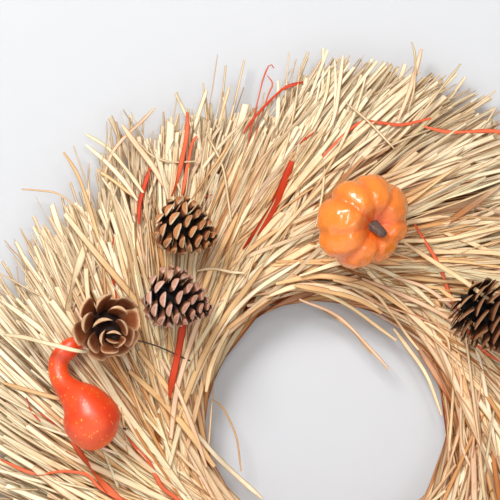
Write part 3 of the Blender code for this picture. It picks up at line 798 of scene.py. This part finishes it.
pick = bent_wire("cone_pick_3", [(-161, 71, -51), (-152, 64.5, -44), (-146, 64.5, -41), (-140, 62.8, -39.5), (-127, 59, -38.5), (-115.5, 54, -37), (-106, 49.5, -34.5), (-100, 46.5, -29), (-97, 44, -20), (-93.5, 42.5, -10), (-91.1, 41.3, -0.8)], 0.55, FLORAL_MAT)
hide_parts("cone_wire_3")
pick = bent_wire("cone_pick_1", [(-118, 150, -50), (-116, 149, -41), (-113, 146, -36), (-109, 141, -31), (-104, 134, -27), (-99, 127, -19), (-87, 112, -10), (-73.2, 93.9, -0.8)], 0.55, FLORAL_MAT)
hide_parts("cone_wire_1")
pick = bent_wire("cone_pick_2", [(-124, 97, -50), (-122, 94, -41), (-118, 90, -36), (-112, 84, -32.5), (-106, 78, -29), (-101, 70, -20), (-99.2, 68.7, -10), (-97.8, 67.8, -0.8)], 0.55, FLORAL_MAT)
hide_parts("cone_wire_2")


def pumpkin(k, centre, direction, radius, roll):
    m = turned(direction, roll)
    b = Build()
    n, sides = 64, 144
    lat = np.linspace(0.012, math.pi - 0.012, n)
    around = np.linspace(0, 2 * math.pi, sides, endpoint=False)
    L, A = np.meshgrid(lat, around, indexing="ij")
    flat = np.sin(L)
    level = np.cos(L)
    warp = A + 0.045 * np.sin(3 * A + 0.7 + k) + 0.03 * np.sin(5 * A + 2.0 * k)
    ridge = np.sqrt(np.sin(4 * warp) ** 2 + 0.05) - 0.12
    groove = np.exp(-((ridge / 0.50) ** 2)) * (0.80 + 0.20 * np.sin(3 * A + k))
    lobe_size = 1 + 0.035 * np.sin(2 * A + 1.3 * k) + 0.03 * np.sin(warp * 4 / 2.0 + 0.4)
    rib = lobe_size * (1 - (0.085 * groove + 0.035 * (1 - ridge)) * np.clip(flat * 1.3, 0, 1))
    out = (np.abs(flat) ** 0.92) * rib * radius
    dimple = np.where(level > 0, 0.42, 0.30) * np.exp(-((flat / 0.36) ** 2))
    z = level * 0.72 * radius * (1 - dimple) * (1 - 0.075 * groove * np.clip(flat * 1.4, 0, 1))
    local = np.stack([np.cos(A) * out, np.sin(A) * out, z], axis=-1).reshape(-1, 3)
    r3 = np.random.default_rng(70 + k)
    lump = np.zeros(len(local))
    for _ in range(16):
        wave = unit(r3.normal(0, 1, 3)) * (2 * math.pi / r3.uniform(7.0, 12.0))
        lump += np.sin(local @ wave + r3.uniform(0, 2 * math.pi)) * 0.085
    local = (local + unit(local) * lump[:, None]) * MM
    verts = local[:, :] @ m.T + centre
    # the tint is darker and redder in the grooves and round the stem dimple and the base
    deep = np.clip(groove * 0.40 + np.exp(-((flat / 0.34) ** 2)) * 0.85, 0, 1)[..., None]
    tint = (srgb(253, 140, 46) * (1 - deep) + srgb(228, 78, 14) * deep).reshape(-1, 3)
    # rings must run so that the faces look out
    order = np.arange(n * sides).reshape(n, sides)[::-1].ravel()
    grid_shell(b, verts[order], n, sides, tint[order])
    piece = b.make(f"pumpkin_lobes_{k}", PUMPKIN_MAT, 70)
    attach(piece, "wreath")
    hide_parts(f"pumpkin_{k}")
    # the stem: fluted, flared at its foot, bent over and cut off at the top
    b = Build()
    n, sides = 22, 36
    t = np.linspace(0, 1, n)
    base = 0.72 * radius * 0.57
    path = np.stack([2.6 * t**1.6, -1.2 * t**1.6, base - 1.4 + 9.6 * t], axis=1)
    size = np.interp(t, [0, 0.12, 0.35, 0.8, 0.94, 1.0], [7.0, 5.6, 4.6, 4.0, 3.5, 2.4])
    a = np.linspace(0, 2 * math.pi, sides, endpoint=False)
    verts = []
    for i in range(n):
        flute = 1 + 0.10 * np.cos(5 * a + 0.9 * t[i]) * (1.3 - t[i]) + 0.03 * np.cos(11 * a)
        rr = size[i] * flute
        verts.append(np.stack([path[i, 0] + rr * np.cos(a), path[i, 1] + 0.82 * rr * np.sin(a), np.full(sides, path[i, 2])], axis=1))
    verts = np.concatenate(verts) * MM @ m.T + centre
    lean = (np.repeat(t, sides) ** 1.3)[:, None] * np.array([[1.2, 0.0, -5.2]]) * MM * (1.0 if k == 1 else -1.0)
    verts = verts + lean
    grid_shell(b, verts, n, sides, np.repeat(srgb(108, 70, 50)[None, :], n * sides, axis=0))
    stem = b.make(f"pumpkin_stalk_{k}", STEM_MAT, 60)
    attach(stem, "wreath")
    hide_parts(f"pumpkin_stem_{k}")


pumpkin(1, P(26.5, 151.5, -63), in_plane(-18, 60), 36.0, 12)
pumpkin(2, P(-40, -150, -61), in_plane(160, 60), 33.0, 30)

GOURD_RADII = [0.8, 16.6, 20.7, 21.7, 19.5, 15.8, 12.0, 9.2, 7.9, 7.6, 7.4, 7.2, 6.9, 3.0]
GOURD_LINE = [(-162.5, -13.7, -55.0), (-168.5, -5.6, -55.8), (-174.0, 4.0, -56.4), (-180.6, 16.0, -55.0), (-189.8, 25.0, -50.5), (-197.5, 33.8, -46.0), (-199.8, 42.8, -43.5), (-198.0, 51.0, -42.8), (-188.0, 59.8, -42.6), (-181.5, 60.8, -42.4)]


def gourd(k, line, radii):
    b = Build()
    n, sides = 90, 48
    at = np.linspace(0, 1, n)
    at = 0.5 - 0.5 * np.cos(math.pi * at)
    c = curve_through(line, 400)
    run = np.linspace(0, 1, 400)
    path = np.stack([np.interp(at, run, c[:, j]) for j in range(3)], axis=1)
    keys = np.linspace(0, 1, len(radii))
    fine = curve_through([(kx, r) for kx, r in zip(keys, radii)], 300)
    size = np.interp(at, fine[:, 0], fine[:, 1])
    cap = 3.0 / 13.0
    body = radii[3] * np.sqrt(np.clip(1 - (1 - at / cap) ** 2, 0.0002, 1))
    size = np.where(at < cap, body, size)
    neck_end = np.interp(0.965, fine[:, 0], fine[:, 1]) * 1.2
    size = np.where(at > 0.965, neck_end * np.sqrt(np.clip(1 - ((at - 0.965) / 0.035) ** 2, 0.0004, 1)), size)
    pts = np.array([P(x, z, y) for x, z, y in path])
    t = unit(np.gradient(pts, axis=0))
    side = unit(np.cross(t, np.array([0.0, -1.0, 0.0])))
    up = np.cross(side, t)
    a = np.linspace(0, 2 * math.pi, sides, endpoint=False)
    verts = []
    for i in range(n):
        rr = size[i] * MM * (1 + 0.012 * np.cos(5 * a) * (1 if at[i] < 0.5 else 0.3))
        verts.append(pts[i] + side[i] * (rr * np.cos(a))[:, None] - up[i] * (rr * np.sin(a))[:, None])
    grid_shell(b, np.concatenate(verts), n, sides, np.ones((n * sides, 3)))
    piece = b.make(f"gourd_skin_{k}", GOURD_MAT, 70)
    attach(piece, "wreath")
    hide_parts(f"gourd_{k}")


gourd(1, GOURD_LINE, GOURD_RADII)
gourd(2, [(-x, -z - 6.0, y) for x, z, y in GOURD_LINE], [0.94 * r for r in GOURD_RADII])

CONE_T = [0.0, 0.03, 0.12, 0.28, 0.45, 0.62, 0.80, 0.93, 1.0]
CONE_R = [0.30, 0.55, 0.84, 1.0, 0.96, 0.80, 0.54, 0.28, 0.10]


def cone_scale(b, root, d, w, u, length, width, height, cell, dark, face, rim, curl, spread):
    """One scale: a stalk that broadens to a plate. d runs out, w across, u towards the apex. A closed cone's scales end
    in a thick shield, flat towards the apex; an open (spread) cone's scales are thin, cupped plates. The tint paints
    light and
    shade: dark is painted shade down the stalk, face the scale's own tan, rim a painted highlight along the plate's
    edge (on a closed shield, on its apex side, with its flanks painted as a shaded, dimmer face)."""
    k = 14
    a = np.linspace(0, 2 * math.pi, k, endpoint=False)
    ca, sa = np.cos(a), np.sin(a)
    if spread:
        s = np.array([0.0, 0.25, 0.5, 0.7, 0.84, 0.93, 0.975, 0.995, 1.0])
        half = np.array([0.20, 0.36, 0.66, 0.92, 1.0, 0.92, 0.74, 0.46, 0.16]) * width / 2
        thick = np.array([0.5, 0.5, 0.55, 0.62, 0.80, 1.0, 1.0, 0.7, 0.25]) * height / 2
        across, along, cup = ca, np.where(sa > 0, 0.8, 1.0) * sa, 0.20 * width
    else:
        s = np.array([0.0, 0.3, 0.55, 0.75, 0.88, 0.945, 0.975, 0.99, 1.0])
        half = np.array([0.22, 0.42, 0.72, 0.95, 1.0, 0.97, 0.88, 0.60, 0.22]) * width / 2
        thick = np.array([0.3, 0.3, 0.42, 0.62, 0.85, 1.0, 0.94, 0.62, 0.20]) * height / 2
        across, along, cup = ca, np.where(sa > 0, 0.45 * np.abs(sa), -1.25 * np.abs(sa) ** 1.25), 0.05 * width
    verts, tint = [], []
    for i, si in enumerate(s):
        centre = root + d * (si * length) - u * (curl * si**3)
        open_out = (smooth((si - 0.3) / 0.5) * cup) * (across * half[i] / (width / 2)) ** 2
        verts.append(centre + w * (across * half[i])[:, None] + u * (along * thick[i] + open_out)[:, None])
        if spread:
            # painted shade from the dark colour at the stalk to the face; a painted highlight in the rim colour along
            # the tip and the sides of the plate
            body = smooth((si - 0.25) / 0.45)
            edge = smooth((si - 0.90) / 0.08) * 0.9 + np.abs(ca)[:, None] ** 8 * 0.55 * body
            colour = dark * (1 - body) + face * body
            colour = colour * (1 - np.clip(edge, 0, 1)) + rim * np.clip(edge, 0, 1)
            tint.append(colour * np.ones((k, 1)))
        else:
            # painted shade: a dark stalk and flanks dimmed toward the tip, more on the side away from the apex; a
            # painted highlight in the rim colour on the shield's apex side
            side = smooth((si - 0.45) / 0.42) * (0.34 + 0.46 * (sa < 0))[:, None]
            flank = dark * (1 - side) + face * np.array([0.60, 0.46, 0.36]) * side
            edge = (smooth((sa + 0.5) / 1.0) * 0.92)[:, None]
            tip = face * (1 - edge) + rim * edge
            shade = smooth((si - 0.90) / 0.06)
            tint.append(flank * (1 - shade) + tip * shade)
    grid_shell(b, np.concatenate(verts), len(s), k, np.clip(np.concatenate(tint), 0, 1), cell)


def pine_cone(k, centre, direction, length, radius, count, seed, dark, face, rim, width, height, open_angles, size_by_t, curl=0.0, spread=False, jitter=0.16):
    r2 = np.random.default_rng(seed)
    m = turned(direction, r2.uniform(0, 360))
    b = Build()
    cols = math.ceil(math.sqrt(count + 1))
    for i in range(count):
        t = (i + 0.5) / count
        t = t**0.94
        az = i * math.radians(137.50776) + r2.normal(0, 0.03)
        prof = np.interp(t, CONE_T, CONE_R) * radius
        lean = math.radians(np.interp(t, [0, 0.25, 0.6, 1.0], open_angles)) + r2.normal(0, 0.04)
        e = np.array([math.cos(az), math.sin(az), 0.0])
        d = e * math.sin(lean) + np.array([0, 0, 1.0]) * math.cos(lean)
        w = np.array([-e[1], e[0], 0.0])
        u = np.cross(d, w)
        u = -u if u[2] < 0 else u
        swing = r2.normal(0, jitter)
        w, u = w * math.cos(swing) + u * math.sin(swing), u * math.cos(swing) - w * math.sin(swing)
        size = np.interp(t, [0, 0.15, 0.4, 0.75, 1.0], size_by_t) * r2.normal(1, 0.05)
        tip_at = e * prof + np.array([0, 0, (t - 0.5) * length * 0.94])
        ell = min(prof / max(math.sin(lean), 0.35) * 0.86, radius * 1.05) * r2.normal(1, 0.02)
        root = tip_at - d * ell
        tone = r2.normal(1.0, 0.10)
        cell = ((i % cols) / cols, (i // cols) / cols, 1 / cols, 1 / cols)
        # the shell's sides run from w towards u; flip when that frame is left-handed
        if np.dot(np.cross(w, u), d) < 0:
            w = -w
        cone_scale(
            b, (root * MM) @ m.T + centre, d @ m.T, w @ m.T, u @ m.T, ell * MM, width * size * MM, height * size * MM, cell, dark, np.clip(face * tone, 0, 1), np.clip(rim * tone, 0, 1), curl * size * MM, spread
        )
    # the core that the scales stand on, painted in the shade colour, darker still
    n, sides = 14, 16
    t = np.linspace(0, 1, n)
    rr = np.interp(t, CONE_T, CONE_R) * radius * 0.42
    rr[0] *= 0.5
    rr[-1] = 0.3
    a = np.linspace(0, 2 * math.pi, sides, endpoint=False)
    verts = np.concatenate([np.stack([q * np.cos(a), q * np.sin(a), np.full(sides, (x - 0.5) * length * 0.86)], axis=1) for q, x in zip(rr, t)]) * MM
    cell = (((count) % cols) / cols, (count // cols) / cols, 1 / cols, 1 / cols)
    grid_shell(b, verts @ m.T + centre, n, sides, np.repeat((dark * 0.8)[None, :], n * sides, axis=0), cell)
    piece = b.make(f"pine_cone_scales_{k}", CONE_MAT, 50)
    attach(piece, "wreath")
    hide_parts(f"pine_cone_{k}")


# Each cone's three colours: dark, a near-black painted shade down between the scales; face, the scales' own tan; rim, a
# pale painted highlight on their edges.
CLOSED = dict(width=12.3, height=5.6, open_angles=[106, 80, 60, 26], size_by_t=[0.70, 0.95, 1.0, 0.80, 0.46])
SPREAD = dict(width=16.6, height=2.7, open_angles=[96, 76, 54, 36], size_by_t=[1.0, 1.0, 0.95, 0.78, 0.55], curl=-2.4, spread=True)
pine_cone(1, P(-102.6, 145.6, -57), in_plane(-24, 4), 50, 22.4, 58, 11, srgb(18, 7, 4), srgb(196, 130, 82), srgb(255, 226, 184), **CLOSED)
pine_cone(2, P(-108.9, 93.2, -57), in_plane(-19, 6), 54, 23.6, 62, 12, srgb(17, 8, 13), srgb(204, 150, 124), srgb(250, 216, 200), **CLOSED)
pine_cone(3, P(-161, 72.0, -67.5), in_plane(-52, 62), 42, 27.6, 24, 13, srgb(40, 18, 10), srgb(150, 80, 40), srgb(232, 188, 144), **{**SPREAD, "width": 18.6, "height": 3.7, "jitter": 0.30})
pine_cone(4, P(122, 78, -62), in_plane(-40, 6), 66, 27.0, 74, 14, srgb(18, 10, 8), srgb(150, 98, 62), srgb(236, 190, 144), width=16.5, height=2.3, open_angles=[106, 80, 60, 26], size_by_t=[0.70, 0.95, 1.0, 0.80, 0.46])
pine_cone(5, P(112, -92, -56.5), in_plane(158, 4), 50, 21.2, 60, 15, srgb(26, 12, 8), srgb(204, 148, 104), srgb(250, 224, 186), **CLOSED)
pine_cone(6, P(158, -76, -64.5), in_plane(110, 60), 42, 21.2, 28, 16, srgb(46, 22, 14), srgb(132, 78, 44), srgb(222, 184, 150), **{**SPREAD, "width": 13.4})


# ------------------------------------------------------------------ stage, light and camera
def plane(name, corners, mat):
    mesh = bpy.data.meshes.new(name)
    mesh.from_pydata(corners, [], [(0, 1, 2, 3)])
    mesh.materials.append(mat)
    o = bpy.data.objects.new(name, mesh)
    bpy.context.scene.collection.objects.link(o)
    return o


wall_mat = bpy.data.materials.new("white_door")
wall_mat.use_nodes = True
nt = wall_mat.node_tree
nt.nodes["Principled BSDF"].inputs["Base Color"].default_value = (0.630, 0.635, 0.649, 1)
nt.nodes["Principled BSDF"].inputs["Roughness"].default_value = 0.9
nt.nodes["Principled BSDF"].inputs["Specular IOR Level"].default_value = 0.0
clear = nt.nodes.new("ShaderNodeBsdfTransparent")
chooser = nt.nodes.new("ShaderNodeMixShader")
facing = nt.nodes.new("ShaderNodeNewGeometry")
nt.links.new(facing.outputs["Backfacing"], chooser.inputs["Fac"])
nt.links.new(nt.nodes["Principled BSDF"].outputs["BSDF"], chooser.inputs[1])
nt.links.new(clear.outputs["BSDF"], chooser.inputs[2])
nt.links.new(chooser.outputs["Shader"], nt.nodes["Material Output"].inputs["Surface"])
Y_DOOR = 0.0048
Z_FLOOR = CZ - 0.55
wall = plane("door_surface", [(-3, Y_DOOR, Z_FLOOR), (3, Y_DOOR, Z_FLOOR), (3, Y_DOOR, 3), (-3, Y_DOOR, 3)], wall_mat)
wall.visible_diffuse = wall.visible_glossy = wall.visible_shadow = wall.visible_transmission = False

floor_mat = bpy.data.materials.new("pale_floor")
floor_mat.use_nodes = True
floor_mat.node_tree.nodes["Principled BSDF"].inputs["Base Color"].default_value = (0.82, 0.82, 0.82, 1)
floor_mat.node_tree.nodes["Principled BSDF"].inputs["Roughness"].default_value = 0.9
plane("floor", [(-4, -4, Z_FLOOR), (4, -4, Z_FLOOR), (4, 4, Z_FLOOR), (-4, 4, Z_FLOOR)], floor_mat)

world = bpy.data.worlds.new("studio")
world.use_nodes = True
world.node_tree.nodes["Background"].inputs["Color"].default_value = (1.0, 1.0, 1.0, 1)
world.node_tree.nodes["Background"].inputs["Strength"].default_value = 0.27
bpy.context.scene.world = world
bpy.context.scene.view_settings.view_transform = "Standard"


def area(name, place, target, size, watts, colour=(1, 1, 1)):
    data = bpy.data.lights.new(name, "AREA")
    data.shape = "SQUARE"
    data.size = size
    data.energy = watts
    data.color = colour
    o = bpy.data.objects.new(name, data)
    o.location = place
    o.rotation_euler = (Vector(target) - Vector(place)).to_track_quat("-Z", "Y").to_euler()
    bpy.context.scene.collection.objects.link(o)
    return o


TARGET = (-0.03, 0, CZ + 0.08)
area("key", (-0.85, -1.75, CZ + 1.45), TARGET, 0.90, 49)
area("fill", (1.2, -2.1, CZ - 0.4), TARGET, 0.6, 4.5)
area("top", (0.30, -1.9, CZ + 1.0), TARGET, 0.36, 5.0)
area("front", (0.02, -2.35, CZ + 0.36), TARGET, 0.40, 6.0)
area("back_left", (-1.2, 1.8, CZ + 0.9), (0, 0, CZ), 1.2, 18)

view = bpy.data.cameras.new("camera")
view.sensor_width = 36
DISTANCE = 2.4
view.lens = 36 * DISTANCE / 0.375
view.clip_end = 50
cam = bpy.data.objects.new("camera", view)
aim = P(-57.0, 130.5, 0)
cam.location = (aim[0], -DISTANCE - 0.03, aim[2])
cam.rotation_euler = (math.pi / 2, 0, 0)
bpy.context.scene.collection.objects.link(cam)
bpy.context.scene.camera = cam
